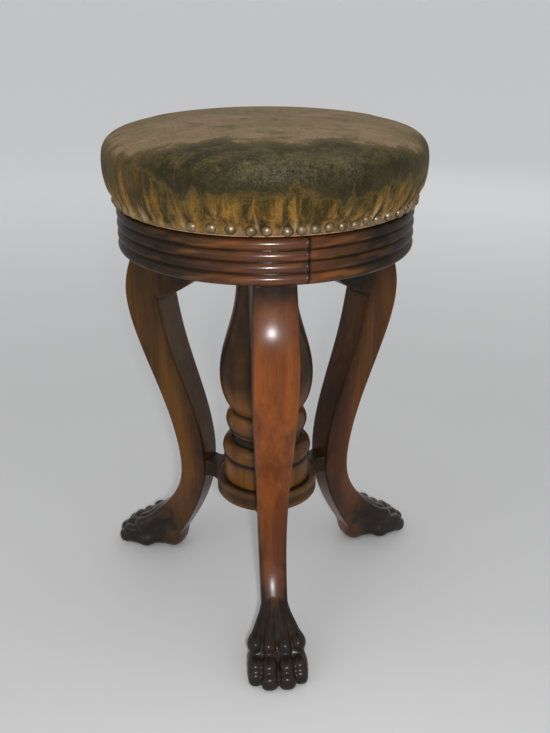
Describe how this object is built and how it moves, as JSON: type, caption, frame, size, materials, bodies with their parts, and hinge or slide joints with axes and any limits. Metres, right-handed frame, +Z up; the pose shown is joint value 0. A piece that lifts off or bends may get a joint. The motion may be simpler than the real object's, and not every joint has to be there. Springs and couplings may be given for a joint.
{
  "type": "revolving piano stool",
  "caption": "Round upholstered piano stool with a reeded ring, a turned column and paw-footed cabriole legs; the seat turns on a central screw to set its height.",
  "frame": {"origin": "on the floor, on the axis that the seat turns about", "axes": "+Z up along the seat's turning axis; the front leg points along -Y, +X is to the right"},
  "size_m": [0.3558, 0.3523, 0.5224],
  "materials": {
    "mahogany": "French polished, glossy",
    "inner_wood": "bare, planed",
    "velvet": "worn cut pile",
    "stuffing": "loose curled fibre",
    "brass": "antique, tarnished",
    "iron": "dark, oiled",
    "steel": "dull"
  },
  "bodies": {
    "base": {"leg_front": "mahogany", "leg_right": "mahogany", "leg_left": "mahogany", "stretcher_front": "mahogany", "stretcher_right": "mahogany", "stretcher_left": "mahogany", "apron_segment_right": "mahogany", "apron_segment_back": "mahogany", "apron_segment_left": "mahogany", "apron_dowels": "inner_wood", "stretcher_dowels": "inner_wood", "top_platform": "inner_wood", "leg_screws": "steel", "column": "mahogany", "base_disc": "mahogany", "disc_screws": "steel", "screw_nut": "iron", "nut_screws": "steel"},
    "lift_carriage": {"stop_washer": "steel"},
    "seat": {"lift_screw": "iron", "stop_pin": "steel", "seat_plate": "iron", "plate_screws": "steel", "seat_board": "inner_wood", "seat_stuffing": "stuffing", "seat_cover": "velvet", "cover_nails": "brass"}
  },
  "joints": [
    {"name": "seat_lift", "type": "slide", "parent": "base", "child": "lift_carriage", "axis": [0, 0, 1], "range_m": [0, 0.0962]},
    {"name": "seat_spin", "type": "hinge", "parent": "lift_carriage", "child": "seat", "pos_m": [0, 0, 0.39], "axis": [0, 0, 1], "range_deg": [0, 4320]}
  ],
  "couplings": [
    {"joint": "seat_lift", "follows": "seat_spin", "m_per_rad": 0.0012732}
  ]
}
